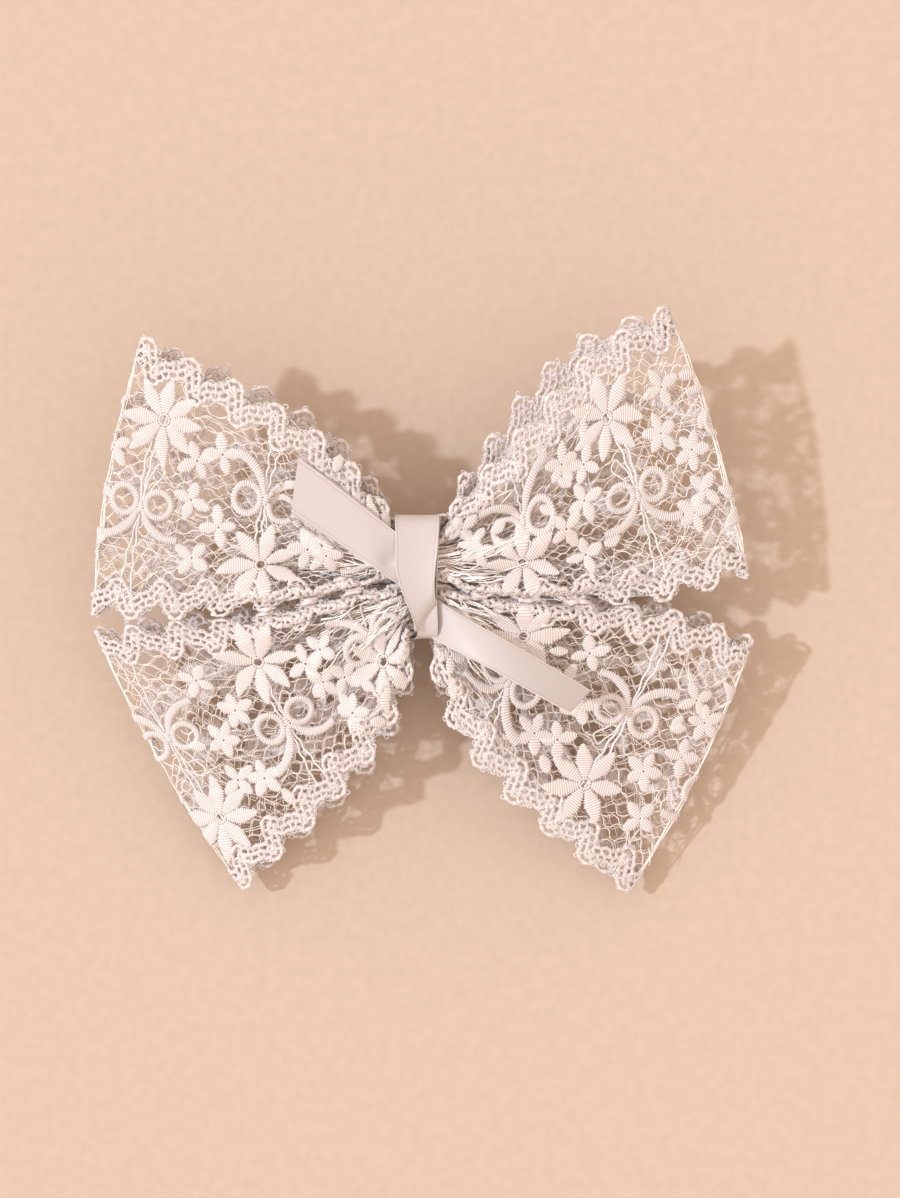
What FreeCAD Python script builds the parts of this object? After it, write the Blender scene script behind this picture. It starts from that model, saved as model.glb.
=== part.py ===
"""Lace hair bow on a steel spring barrette, as a parametric FreeCAD document.

Frame: +X along the bow's width, +Y towards the top of the bow, +Z out of its front.
The origin is on the surface that the bow lies on, under the middle of its outline.
Lengths are in millimetres and angles in degrees.
"""

import FreeCAD, Part

import math
import os

DIMENSIONS = {
    # where the knot and the clip lie
    "knot_x": -0.65,
    "knot_y": 4.39,
    "clip_x": 7.75,
    # lace loops
    "lace_thick": 0.6,
    "loop_throat": 2.5,
    "loop_fold_half": 2.3,
    "loop_fold_bend": 2.5,
    "loop_fold_bend_in": 1.9,
    "loop_curve": 230.0,
    "loop_width": 90.0,
    "wing_throat_half": 4.9,
    "upper_reach": 61.3,
    "upper_half": 30.0,
    "lower_reach": 57.5,
    "lower_half": 32.5,
    "wing_fold_curve": 115.0,
    "wing_outer_curve": 105.0,
    "wing_inner_curve": 900.0,
    # gathered waists of the two lace bands
    "waist_long": 10.4,
    "waist_tall": 10.6,
    "waist_deep": 7.4,
    "waist_low": 16.9,
    "waist_round": 2.6,
    "waist_spread": 6.0,
    "thread_wide": 1.8,
    "thread_thick": 0.4,
    "thread_gap": 0.06,
    # satin ribbon
    "ribbon_wide": 10.0,
    "ribbon_thick": 0.3,
    "wrap_under_half": 4.7,
    "wrap_under_z": 13.7,
    "wrap_side_half": 12.4,
    "wrap_side_low": 17.4,
    "wrap_side_high": 23.4,
    "wrap_top_half": 9.0,
    "wrap_top_z": 26.4,
    "wrap_shoulder": 4.4,
    "tail_level": 25.3,
    "tail_left_flat": 10.0,
    "tail_left_long": 23.5,
    "tail_left_rise": 10.0,
    "tail_right_flat": 4.0,
    "tail_right_long": 28.0,
    "tail_right_rise": -2.0,
    # glue pad
    "pad_long": 8.6,
    "pad_wide": 7.0,
    "pad_thick": 0.5,
    "pad_low": 15.85,
    # barrette base
    "base_curve": 117.8,
    "base_low": 15.0,
    "base_thick": 0.8,
    "base_wide": 8.0,
    "base_arc_half": 34.0,
    "tab_from": 33.0,
    "tab_to": 42.0,
    "tab_low": 9.9,
    "ear_half": 2.2,
    "ear_inner": 3.2,
    "sewing_hole_x": 29.0,
    "sewing_hole_bore": 0.8,
    "slot_from": 34.6,
    "slot_to": 35.4,
    "slot_half": 1.4,
    # hinge
    "pin_x": 37.5,
    "pin_z": 2.2,
    "pin_bore": 0.7,
    "pin_long": 9.0,
    "pin_head": 1.15,
    "pin_head_thick": 0.45,
    "pin_gap": 0.02,
    # clasp arm
    "arm_curve": 208.0,
    "arm_low": 4.0,
    "arm_thick": 1.0,
    "arm_wide": 5.0,
    "arm_arc_half": 36.3,
    "eye_outer": 1.6,
    "eye_bore": 0.76,
    "eye_wide": 6.0,
    "frame_from": 34.0,
    "frame_to": 42.0,
    "frame_half": 3.6,
    "frame_low": 1.0,
    "window_from": 36.6,
    "window_to": 40.9,
    "window_half": 2.1,
    "lip_from": 41.4,
    "lip_to": 44.6,
    # tension bar
    "bar_curve": 482.6,
    "bar_low": 10.6,
    "bar_thick": 0.4,
    "bar_wide": 4.0,
    "bar_half": 35.2,
    "tongue_half": 1.1,
    "tongue_top": 11.4,
    # catch
    "prong_from": 37.1,
    "prong_to": 40.4,
    "prong_inner": 1.42,
    "prong_outer": 1.92,
    "prong_hook": 2.0,
    "prong_hook_low": 0.4,
    "prong_hook_high": 0.9,
    "prong_pivot_z": 9.6,
    "bridge_low": 9.35,
    "bridge_thick": 0.5,
    "bridge_half": 1.34,
    "rivet_x": 38.8,
    "rivet_bore": 0.8,
    "rivet_head": 1.1,
    "rivet_head_thick": 0.45,
}

# Each loop of lace: its band, its yaw about Z, how far it climbs outwards, its roll about its
# own length, its throat from the knot, and the side of it that the bow's outer border is on.
LOOPS = {
    "upper_lace_left_loop": ("upper", 164.2, 2.5, -9.5, (-6.8, 6.0, 21.2), -1),
    "upper_lace_right_loop": ("upper", 22.0, 2.5, 9.5, (7.4, 6.2, 21.2), 1),
    "lower_lace_left_loop": ("lower", 213.2, -9.5, -7.0, (-8.5, -7.6, 19.6), 1),
    "lower_lace_right_loop": ("lower", -32.6, -9.5, 7.0, (8.5, -7.8, 19.6), -1),
}
# Each free end of the ribbon: its yaw and its start from the knot.
TAILS = {"left": (144.0, (-0.5, 0.4)), "right": (-30.0, (7.8, -10.9))}

UPRIGHT = FreeCAD.Rotation()
LYING = FreeCAD.Rotation(FreeCAD.Vector(1, 0, 0), 90)

doc = FreeCAD.newDocument("lace_hair_bow")
sheet = doc.addObject("Spreadsheet::Sheet", "sizes")


def fill_sheet():
    """Writes every driving dimension into the sheet, with its alias."""
    for row, (alias, value) in enumerate(DIMENSIONS.items(), start=1):
        sheet.set(f"A{row}", alias)
        sheet.set(f"B{row}", str(value))
        sheet.setAlias(f"B{row}", alias)
    doc.recompute()


def number(word):
    """The value of an alias, of minus an alias, or of a plain number."""
    if isinstance(word, (int, float)):
        return float(word)
    return -DIMENSIONS[word[1:]] if word.startswith("-") else DIMENSIONS[word]


def formula(word):
    """The same, as an expression that reads the sheet."""
    return f"-sizes.{word[1:]}" if word.startswith("-") else f"sizes.{word}"


def plane(body, role):
    """One of a body's own origin planes."""
    return next(f for f in body.Origin.OriginFeatures if f.Role == role)


def sketch_on(body, name, role, offset=0.0):
    """A sketch on one of the body's origin planes, moved along the plane's normal."""
    sketch = body.newObject("Sketcher::SketchObject", name)
    sketch.AttachmentSupport = [(plane(body, role), "")]
    sketch.MapMode = "FlatFace"
    sketch.AttachmentOffset = FreeCAD.Placement(
        FreeCAD.Vector(0, 0, offset), FreeCAD.Rotation()
    )
    return sketch


def arc_between(p, q, radius, outwards):
    """The arc from p to q of an outline drawn anticlockwise, bulging out of it or into it."""
    chord = q - p
    side = FreeCAD.Vector(-chord.y, chord.x, 0).normalize()
    deep = math.sqrt(max(radius**2 - (chord.Length / 2) ** 2, 0.0))
    centre = (p + q) * 0.5 + side * (deep if outwards else -deep)
    start, end = (p, q) if outwards else (q, p)
    first, last = [math.atan2(v.y - centre.y, v.x - centre.x) for v in (start, end)]
    circle = Part.Circle(centre, FreeCAD.Vector(0, 0, 1), radius)
    return Part.ArcOfCircle(circle, first, last if last > first else last + 2 * math.pi)


def fix_point(sketch, edge, end, x, y):
    """Ties one end of an edge to its place, read from the sheet."""
    import Sketcher

    for word, axis, kind in ((x, -2, "DistanceX"), (y, -1, "DistanceY")):
        if word == 0:
            sketch.addConstraint(Sketcher.Constraint("PointOnObject", edge, end, axis))
            continue
        made = Sketcher.Constraint(kind, -1, 1, edge, end, number(word))
        index = sketch.addConstraint(made)
        if isinstance(word, str):
            sketch.setExpression(f"Constraints[{index}]", formula(word))


def outline(sketch, corners):
    """A closed outline, anticlockwise. A corner is (x, y) or (x, y, radius, bulges out)
    where the edge to the next corner is an arc. x and y are aliases, or 0."""
    import Sketcher

    places = [FreeCAD.Vector(number(c[0]), number(c[1]), 0) for c in corners]
    ends = []
    for i, corner in enumerate(corners):
        p, q = places[i], places[(i + 1) % len(places)]
        if len(corner) == 2:
            edge = sketch.addGeometry(Part.LineSegment(p, q))
            ends.append((edge, 1, 2))
            continue
        edge = sketch.addGeometry(arc_between(p, q, number(corner[2]), corner[3]))
        ends.append((edge, 1, 2) if corner[3] else (edge, 2, 1))
        index = sketch.addConstraint(Sketcher.Constraint("Radius", edge, number(corner[2])))
        sketch.setExpression(f"Constraints[{index}]", formula(corner[2]))
    for i, (edge, start, end) in enumerate(ends):
        after, after_start, _ = ends[(i + 1) % len(ends)]
        sketch.addConstraint(
            Sketcher.Constraint("Coincident", edge, end, after, after_start)
        )
        fix_point(sketch, edge, start, corners[i][0], corners[i][1])


def rectangle(sketch, x0, y0, x1, y1):
    """A rectangle between two corners, given as aliases."""
    outline(sketch, [(x0, y0), (x1, y0), (x1, y1), (x0, y1)])


def circle(sketch, x, y, radius):
    """A circle whose centre and radius are read from the sheet."""
    import Sketcher

    centre = FreeCAD.Vector(number(x), number(y), 0)
    edge = sketch.addGeometry(
        Part.Circle(centre, FreeCAD.Vector(0, 0, 1), number(radius))
    )
    index = sketch.addConstraint(Sketcher.Constraint("Radius", edge, number(radius)))
    sketch.setExpression(f"Constraints[{index}]", formula(radius))
    fix_point(sketch, edge, 3, x, y)


def new_body(name):
    body = doc.addObject("PartDesign::Body", name)
    body.Label = name
    return body


def pad(body, sketch, length, both_ways=True):
    """Pads a sketch by a formula, to both sides of its plane or along its normal."""
    feature = body.newObject("PartDesign::Pad", sketch.Name + "_pad")
    feature.Profile = sketch
    feature.Midplane = both_ways
    feature.setExpression("Length", length)
    sketch.Visibility = False
    doc.recompute()
    return feature


def cut_through(body, sketch):
    """Cuts a sketch through the whole body, and makes sure that it removed something."""
    doc.recompute()
    before = body.Shape.Volume
    feature = body.newObject("PartDesign::Pocket", sketch.Name + "_cut")
    feature.Profile = sketch
    feature.Type = "ThroughAll"
    feature.Midplane = True
    doc.recompute()
    if body.Shape.Volume > before - 1e-3:
        raise RuntimeError(f"{feature.Name} cut nothing")
    return feature


def arched_strip(body, name, curve, wide, thick, half_length):
    """A strip bent to a radius: a rectangle turned about the body's Y axis."""
    import Sketcher

    sketch = sketch_on(body, name, "YZ_Plane")
    w, r, t = number(wide) / 2, number(curve), number(thick)
    places = [(-w, r), (w, r), (w, r + t), (-w, r + t)]
    for i in range(4):
        p, q = places[i], places[(i + 1) % 4]
        sketch.addGeometry(
            Part.LineSegment(FreeCAD.Vector(*p, 0), FreeCAD.Vector(*q, 0))
        )
    for i in range(4):
        sketch.addConstraint(Sketcher.Constraint("Coincident", i, 2, (i + 1) % 4, 1))
    for i, kind in ((1, "Vertical"), (2, "Horizontal"), (3, "Vertical")):
        sketch.addConstraint(Sketcher.Constraint(kind, i))
    sketch.addConstraint(Sketcher.Constraint("Symmetric", 0, 1, 0, 2, -2))
    for made, words in (
        (Sketcher.Constraint("DistanceX", 0, 1, 0, 2, 2 * w), f"sizes.{wide}"),
        (Sketcher.Constraint("DistanceY", -1, 1, 0, 1, r), f"sizes.{curve}"),
        (Sketcher.Constraint("DistanceY", 1, 1, 1, 2, t), f"sizes.{thick}"),
    ):
        sketch.setExpression(f"Constraints[{sketch.addConstraint(made)}]", words)
    turned = body.newObject("PartDesign::Revolution", name + "_arc")
    turned.Profile = sketch
    turned.ReferenceAxis = (sketch, ["H_Axis"])
    turned.Midplane = True
    turned.setExpression("Angle", f"2 * asin(sizes.{half_length} / sizes.{curve})")
    doc.recompute()
    return turned


def put(feature, x="0", y="0", z="0"):
    """Binds a piece's place to the sheet."""
    for axis, words in (("x", x), ("y", y), ("z", z)):
        feature.setExpression(f"Placement.Base.{axis}", words)


def from_knot(place):
    """Formulas for a place given from the knot's own X and Y."""
    return (f"sizes.knot_x + {place[0]}", f"sizes.knot_y + {place[1]}", str(place[2]))


def lace_loop(name, band, yaw, climb, roll, throat, outer):
    """One side of a lace band, folded back at its outer end into two sheets."""
    side = doc.addObject("Sketcher::SketchObject", name + "_side")
    side.Placement.Rotation = FreeCAD.Rotation(FreeCAD.Vector(1, 0, 0), 90)
    gap = "loop_throat_in"
    fold = band + "_fold"
    outline(
        side,
        [
            (0, "-loop_throat", "loop_curve", True),
            (fold, "-loop_fold_half", "loop_fold_bend", True),
            (fold, "loop_fold_half", "loop_curve", True),
            (0, "loop_throat"),
            (0, gap, "loop_curve", False),
            (fold, "loop_fold_half_in", "loop_fold_bend_in", False),
            (fold, "-loop_fold_half_in", "loop_curve", False),
            (0, "-" + gap),
        ],
    )
    plan = doc.addObject("Sketcher::SketchObject", name + "_plan")
    lower, upper = ("wing_inner_curve", "wing_outer_curve")[:: int(outer)]
    outline(
        plan,
        [
            (0, "-wing_throat_half", lower, True),
            (band + "_reach", f"-{band}_half", "wing_fold_curve", True),
            (band + "_reach", f"{band}_half", upper, True),
            (0, "wing_throat_half"),
        ],
    )
    slabs = []
    for sketch in (side, plan):
        slab = doc.addObject("Part::Extrusion", sketch.Name + "_slab")
        slab.Base = sketch
        slab.DirMode = "Normal"
        slab.Solid = True
        slab.Symmetric = True
        slab.setExpression("LengthFwd", "sizes.loop_width")
        slabs.append(slab)
    loop = doc.addObject("Part::Common", name)
    loop.Label = name
    loop.Base, loop.Tool = slabs
    loop.Placement.Rotation = FreeCAD.Rotation(yaw, -climb, roll)
    put(loop, *from_knot(throat))
    return loop


def waist(name, side):
    """The gathered middle of a lace band, pressed into a rounded bundle."""
    body = new_body(name)
    sketch = sketch_on(body, name + "_section", "YZ_Plane")
    rectangle(sketch, "-waist_half", 0, "waist_half", "waist_deep")
    block = pad(body, sketch, "sizes.waist_long")
    rounded = body.newObject("PartDesign::Fillet", name + "_round")
    rounded.Base = (
        block,
        [
            f"Edge{i}"
            for i, edge in enumerate(block.Shape.Edges, start=1)
            if abs(edge.tangentAt(edge.FirstParameter).x) > 0.99
        ],
    )
    rounded.setExpression("Radius", "sizes.waist_round")
    body.Tip = rounded
    put(body, "sizes.knot_x", f"sizes.knot_y {side} sizes.waist_spread", "sizes.waist_low")
    return body


def gathering_thread(name, side):
    """Turns of thread pulled tight round a waist, as one band."""
    body = new_body(name)
    ring = sketch_on(body, name + "_ring", "YZ_Plane")
    for edge in (
        ("thread_inner_half", "thread_inner_low", "thread_inner_high", "thread_bend_in"),
        ("thread_outer_half", "thread_outer_low", "thread_outer_high", "thread_bend_out"),
    ):
        half, low, high, bend = edge
        near = half + "_flat"
        outline(
            ring,
            [
                ("-" + near, low),
                (near, low, bend, True),
                (half, low + "_side"),
                (half, high + "_side", bend, True),
                (near, high),
                ("-" + near, high, bend, True),
                ("-" + half, high + "_side"),
                ("-" + half, low + "_side", bend, True),
            ],
        )
    pad(body, ring, "sizes.thread_wide")
    put(body, "sizes.knot_x", f"sizes.knot_y {side} sizes.waist_spread", "sizes.waist_low")
    return body


def ribbon_wrap():
    """The ribbon's closed turn round both waists and the barrette's base."""
    body = new_body("ribbon_wrap")
    sketch = sketch_on(body, "wrap_section", "YZ_Plane")
    outline(
        sketch,
        [
            ("-wrap_under_half", "wrap_under_z"),
            ("wrap_under_half", "wrap_under_z"),
            ("wrap_side_half", "wrap_side_low"),
            ("wrap_side_half", "wrap_side_high", "wrap_shoulder", True),
            ("wrap_top_half", "wrap_top_z"),
            ("-wrap_top_half", "wrap_top_z", "wrap_shoulder", True),
            ("-wrap_side_half", "wrap_side_high"),
            ("-wrap_side_half", "wrap_side_low"),
        ],
    )
    block = pad(body, sketch, "sizes.ribbon_wide")
    shell = body.newObject("PartDesign::Thickness", "wrap_shell")
    shell.Base = (
        block,
        [
            f"Face{i}"
            for i, face in enumerate(block.Shape.Faces, start=1)
            if abs(face.normalAt(0, 0).x) > 0.99
        ],
    )
    shell.Reversed = True
    shell.setExpression("Value", "sizes.ribbon_thick")
    body.Tip = shell
    put(body, "sizes.knot_x", "sizes.knot_y")
    return body


def ribbon_tail(side, yaw, start):
    """A free end of the ribbon: flat under the wrap, then a straight run that rises or drops."""
    body = new_body(f"ribbon_tail_{side}")
    slope = math.radians(number(f"tail_{side}_rise"))
    flat, run = number(f"tail_{side}_flat"), number(f"tail_{side}_long")
    thick = number("ribbon_thick")
    path = sketch_on(body, f"tail_{side}_section", "XZ_Plane")
    shift = thick * math.tan(slope / 2)
    tip = FreeCAD.Vector(flat + run * math.cos(slope), run * math.sin(slope), 0)
    over = FreeCAD.Vector(-math.sin(slope), math.cos(slope), 0) * thick
    places = [
        FreeCAD.Vector(0, 0, 0),
        FreeCAD.Vector(flat, 0, 0),
        tip,
        tip + over,
        FreeCAD.Vector(flat - shift, thick, 0),
        FreeCAD.Vector(0, thick, 0),
    ]
    for i, p in enumerate(places):
        path.addGeometry(Part.LineSegment(p, places[(i + 1) % len(places)]))
    pad(body, path, "sizes.ribbon_wide")
    body.Placement.Rotation = FreeCAD.Rotation(yaw, 0, 0)
    put(body, *from_knot((*start, "sizes.tail_level")))
    return body


def glue_pad():
    """The pad of hardened glue between the waists and the barrette's base."""
    block = doc.addObject("Part::Box", "glue_pad")
    block.Label = "glue_pad"
    block.setExpression("Length", "sizes.pad_long")
    block.setExpression("Width", "sizes.pad_wide")
    block.setExpression("Height", "sizes.pad_thick")
    put(
        block,
        "sizes.knot_x - sizes.pad_long / 2",
        "sizes.knot_y - sizes.pad_wide / 2",
        "sizes.pad_low",
    )
    return block


def base_plate():
    """The barrette's arched base, with a flat tab at each end and two hinge ears."""
    body = new_body("base_plate")
    arched_strip(body, "base_strip", "base_curve", "base_wide", "base_thick", "base_arc_half")
    rise = number("base_curve") - number("base_low")
    for name, near, far in (
        ("catch_tab", "tab_from", "tab_to"),
        ("hinge_tab", "-tab_to", "-tab_from"),
    ):
        tab = sketch_on(body, name, "XY_Plane", number("tab_low") + rise)
        rectangle(tab, near, "-base_half", far, "base_half")
        pad(body, tab, "sizes.base_thick", both_ways=False)
    for name, where in (("ear_near", "ear_inner"), ("ear_far", None)):
        offset = number(where) if where else -number("ear_inner") - number("base_thick")
        ear = sketch_on(body, name, "XZ_Plane", offset)
        outline(
            ear,
            [
                ("-ear_left", "ear_mid", "ear_half_bend", True),
                ("-ear_right", "ear_mid"),
                ("-ear_right", "ear_top"),
                ("-ear_left", "ear_top"),
            ],
        )
        pad(body, ear, "sizes.base_thick", both_ways=False)
    pin_hole = sketch_on(body, "pin_hole", "XZ_Plane")
    circle(pin_hole, "-pin_x", "ear_mid", "pin_hole_bore")
    cut_through(body, pin_hole)
    slots = sketch_on(body, "bar_slots", "XY_Plane")
    rectangle(slots, "slot_from", "-slot_half", "slot_to", "slot_half")
    rectangle(slots, "-slot_to", "-slot_half", "-slot_from", "slot_half")
    cut_through(body, slots)
    holes = sketch_on(body, "sewing_holes", "XY_Plane")
    circle(holes, "sewing_hole_x", 0, "sewing_hole_bore")
    circle(holes, "-sewing_hole_x", 0, "sewing_hole_bore")
    circle(holes, "rivet_x", 0, "rivet_hole_bore")
    cut_through(body, holes)
    put(body, "sizes.clip_x", "sizes.knot_y", "sizes.base_low - sizes.base_curve")
    return body


def clasp_arm():
    """The arched arm: a rolled hinge eye, a window for the catch and a flat lifting lip."""
    body = new_body("clasp_arm")
    arched_strip(body, "arm_strip", "arm_curve", "arm_wide", "arm_thick", "arm_arc_half")
    rise = number("arm_curve") - number("arm_low")
    frame = sketch_on(body, "window_frame", "XY_Plane", number("frame_low") + rise)
    rectangle(frame, "frame_from", "-frame_half", "frame_to", "frame_half")
    pad(body, frame, "sizes.arm_thick", both_ways=False)
    lip = sketch_on(body, "lip", "XY_Plane", rise)
    rectangle(lip, "lip_from", "-frame_half", "lip_to", "frame_half")
    pad(body, lip, "sizes.arm_thick", both_ways=False)
    step = sketch_on(body, "lip_step", "XY_Plane", rise)
    rectangle(step, "lip_from", "-frame_half", "frame_to", "frame_half")
    pad(body, step, "sizes.frame_low + sizes.arm_thick", both_ways=False)
    eye = sketch_on(body, "eye", "XZ_Plane")
    circle(eye, "-pin_x", "eye_mid", "eye_outer")
    pad(body, eye, "sizes.eye_wide")
    bore = sketch_on(body, "eye_bore_hole", "XZ_Plane")
    circle(bore, "-pin_x", "eye_mid", "eye_bore")
    cut_through(body, bore)
    window = sketch_on(body, "window", "XY_Plane")
    rectangle(window, "window_from", "-window_half", "window_to", "window_half")
    cut_through(body, window)
    put(body, "sizes.clip_x", "sizes.knot_y", "sizes.arm_low - sizes.arm_curve")
    return body


def tension_bar():
    """The thin sprung bar under the base, with a tongue at each end through its slot."""
    body = new_body("tension_bar")
    arched_strip(body, "bar_strip", "bar_curve", "bar_wide", "bar_thick", "bar_half")
    for name, near, far in (
        ("tongue_right", "tongue_near", "bar_half"),
        ("tongue_left", "-bar_half", "-tongue_near"),
    ):
        tongue = sketch_on(body, name, "XY_Plane", number("tongue_from"))
        rectangle(tongue, near, "-tongue_half", far, "tongue_half")
        pad(body, tongue, "sizes.tongue_tall", both_ways=False)
    put(body, "sizes.clip_x", "sizes.knot_y", "sizes.bar_low - sizes.bar_curve")
    return body


def headed_pin(name, kind, turn, place):
    """A shank with a flat head at each end, about its own middle."""
    low_end = f"-sizes.{kind}_long / 2"
    head_tall = f"sizes.{kind}_head_thick"
    pieces = []
    for part, radius, tall, start in (
        ("shank", f"sizes.{kind}_bore", f"sizes.{kind}_long", low_end),
        ("head_low", f"sizes.{kind}_head", head_tall, low_end),
        ("head_high", f"sizes.{kind}_head", head_tall, f"-({low_end}) - {head_tall}"),
    ):
        rod = doc.addObject("Part::Cylinder", f"{name}_{part}")
        rod.setExpression("Radius", radius)
        rod.setExpression("Height", tall)
        rod.setExpression("Placement.Base.z", start)
        pieces.append(rod)
    joined = doc.addObject("Part::MultiFuse", name)
    joined.Label = name
    joined.Shapes = pieces
    joined.Placement.Rotation = turn
    put(joined, *place)
    return joined


def catch_bridge():
    """The flat web of the catch spring, riveted under the base's tab."""
    body = new_body("catch_bridge")
    web = sketch_on(body, "web", "XY_Plane", number("bridge_low"))
    rectangle(web, "window_from", "-bridge_half", "window_to", "bridge_half")
    circle(web, "rivet_x", 0, "rivet_hole_bore")
    pad(body, web, "sizes.bridge_thick", both_ways=False)
    put(body, "sizes.clip_x", "sizes.knot_y")
    return body


def catch_prong(name, side):
    """One leg of the catch spring: a flat blade with a rounded root and an outward hook."""
    body = new_body(name)
    blade = sketch_on(body, name + "_section", "YZ_Plane")
    corners = [
        ("prong_inner", "prong_hook_low"),
        ("prong_hook", "prong_hook_low"),
        ("prong_hook", "prong_hook_high"),
        ("prong_outer", "prong_shoulder"),
        ("prong_outer", "prong_pivot_z", "prong_root", True),
        ("prong_inner", "prong_pivot_z"),
    ]
    if side < 0:
        corners = [("-" + c[0], *c[1:]) for c in corners]
        corners = [
            corners[0],
            ("-prong_inner", "prong_pivot_z", "prong_root", True),
            corners[4][:2],
            *corners[3:0:-1],
        ]
    outline(blade, corners)
    pad(body, blade, "sizes.prong_wide")
    put(body, "sizes.clip_x + sizes.prong_mid", "sizes.knot_y")
    return body


def derived():
    """Dimensions that follow from the driving ones."""
    d = DIMENSIONS
    d["base_half"] = d["base_wide"] / 2
    d["waist_half"] = d["waist_tall"] / 2
    d["loop_throat_in"] = d["loop_throat"] - d["lace_thick"]
    d["loop_fold_half_in"] = d["loop_fold_half"] - d["lace_thick"]
    deep = math.sqrt(d["loop_fold_bend"] ** 2 - d["loop_fold_half"] ** 2)
    for band in ("upper", "lower"):
        d[band + "_fold"] = d[band + "_reach"] - (d["loop_fold_bend"] - deep)
    rise = d["base_curve"] - d["base_low"]
    d["ear_mid"] = d["pin_z"] + rise
    d["ear_top"] = d["tab_low"] + rise + d["base_thick"] / 2
    d["ear_left"] = d["pin_x"] + d["ear_half"]
    d["ear_right"] = d["pin_x"] - d["ear_half"]
    d["ear_half_bend"] = d["ear_half"] + 1e-4
    d["pin_hole_bore"] = d["pin_bore"] + d["pin_gap"]
    d["rivet_hole_bore"] = d["rivet_bore"] + d["pin_gap"]
    d["eye_mid"] = d["pin_z"] + d["arm_curve"] - d["arm_low"]
    d["tongue_near"] = d["bar_half"] - d["bar_thick"]
    bar_end = math.sqrt(d["bar_curve"] ** 2 - d["bar_half"] ** 2)
    d["tongue_from"] = bar_end
    d["tongue_tall"] = d["tongue_top"] - (d["bar_low"] - d["bar_curve"] + bar_end)
    d["prong_wide"] = d["prong_to"] - d["prong_from"]
    d["prong_mid"] = (d["prong_to"] + d["prong_from"]) / 2
    d["prong_root"] = (d["prong_outer"] - d["prong_inner"]) / 2 + 1e-4
    d["prong_shoulder"] = d["prong_hook_high"] + 0.15
    d["rivet_long"] = (
        d["tab_low"] + d["base_thick"] - d["bridge_low"] + 2 * d["rivet_head_thick"]
    )
    d["rivet_z"] = (d["tab_low"] + d["base_thick"] + d["bridge_low"]) / 2
    d["thread_bend_in"] = d["waist_round"] + d["thread_gap"]
    d["thread_bend_out"] = d["thread_bend_in"] + d["thread_thick"]
    for ring, reach in (
        ("thread_inner", d["thread_gap"]),
        ("thread_outer", d["thread_gap"] + d["thread_thick"]),
    ):
        round_it = d["waist_round"] + reach
        d[ring + "_half"] = d["waist_half"] + reach
        d[ring + "_half_flat"] = d["waist_half"] + reach - round_it
        d[ring + "_low"] = -reach
        d[ring + "_low_side"] = round_it - reach
        d[ring + "_high"] = d["waist_deep"] + reach
        d[ring + "_high_side"] = d["waist_deep"] + reach - round_it


def build():
    """Makes every sub-part, and returns them in the order that they are listed."""
    parts = [lace_loop(name, *spec) for name, spec in LOOPS.items()]
    for band, side in (("upper", "+"), ("lower", "-")):
        parts.append(waist(f"{band}_lace_waist", side))
        parts.append(gathering_thread(f"{band}_gathering_thread", side))
    parts.append(ribbon_wrap())
    parts += [ribbon_tail(side, *spec) for side, spec in TAILS.items()]
    parts += [glue_pad(), base_plate(), clasp_arm(), tension_bar(), catch_bridge()]
    parts.append(catch_prong("catch_prong_front", -1))
    parts.append(catch_prong("catch_prong_rear", 1))
    hinge = ("sizes.clip_x - sizes.pin_x", "sizes.knot_y", "sizes.pin_z")
    parts.append(headed_pin("hinge_pin", "pin", LYING, hinge))
    rivet = ("sizes.clip_x + sizes.rivet_x", "sizes.knot_y", "sizes.rivet_z")
    parts.append(headed_pin("catch_rivet", "rivet", UPRIGHT, rivet))
    return parts


def check(parts):
    """Stops if an object of the document failed, or a sub-part is not a sound solid."""
    for feature in doc.Objects:
        if {"Invalid", "Error"} & set(feature.State):
            raise RuntimeError(f"{feature.Name} failed: {feature.State}")
    for part in parts:
        shape = part.Shape
        if shape.isNull() or not shape.isValid() or not shape.Solids:
            raise RuntimeError(f"{part.Label} has no sound solid")


def main():
    derived()
    fill_sheet()
    parts = build()
    doc.recompute()
    check(parts)
    os.makedirs("parts", exist_ok=True)
    whole = FreeCAD.BoundBox()
    for part in parts:
        part.Shape.exportStep(f"parts/{part.Label}.step")
        whole.add(part.Shape.BoundBox)
    print(f"{len(parts)} parts, {whole}")


main()
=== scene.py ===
"""A double bow of machine lace, tied with a satin ribbon, on a steel spring barrette.

The lace is drawn flat in millimetres, u along the band and v across it, as real threads: a
net ground, wound eyelets along the scalloped borders and satin stitched flowers. Each wing
of the bow is one smooth folded surface, and the flat lace is carried onto it.
"""

import math

import bpy
import numpy as np
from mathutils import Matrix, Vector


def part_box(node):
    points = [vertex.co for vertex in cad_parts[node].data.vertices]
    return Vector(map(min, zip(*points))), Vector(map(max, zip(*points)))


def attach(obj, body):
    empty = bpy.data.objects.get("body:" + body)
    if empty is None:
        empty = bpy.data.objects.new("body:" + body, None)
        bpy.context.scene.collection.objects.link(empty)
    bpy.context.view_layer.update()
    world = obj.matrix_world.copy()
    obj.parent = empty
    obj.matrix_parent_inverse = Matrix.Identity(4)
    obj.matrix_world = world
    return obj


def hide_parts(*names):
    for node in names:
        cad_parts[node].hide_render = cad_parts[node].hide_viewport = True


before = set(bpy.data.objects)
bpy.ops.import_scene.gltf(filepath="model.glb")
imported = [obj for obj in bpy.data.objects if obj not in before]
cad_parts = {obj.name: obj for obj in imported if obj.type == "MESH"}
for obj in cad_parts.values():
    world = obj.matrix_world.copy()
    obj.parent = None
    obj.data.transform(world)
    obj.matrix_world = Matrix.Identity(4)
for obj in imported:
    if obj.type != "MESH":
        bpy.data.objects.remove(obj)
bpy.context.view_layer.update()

MM = 0.001
SEED = 7

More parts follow.
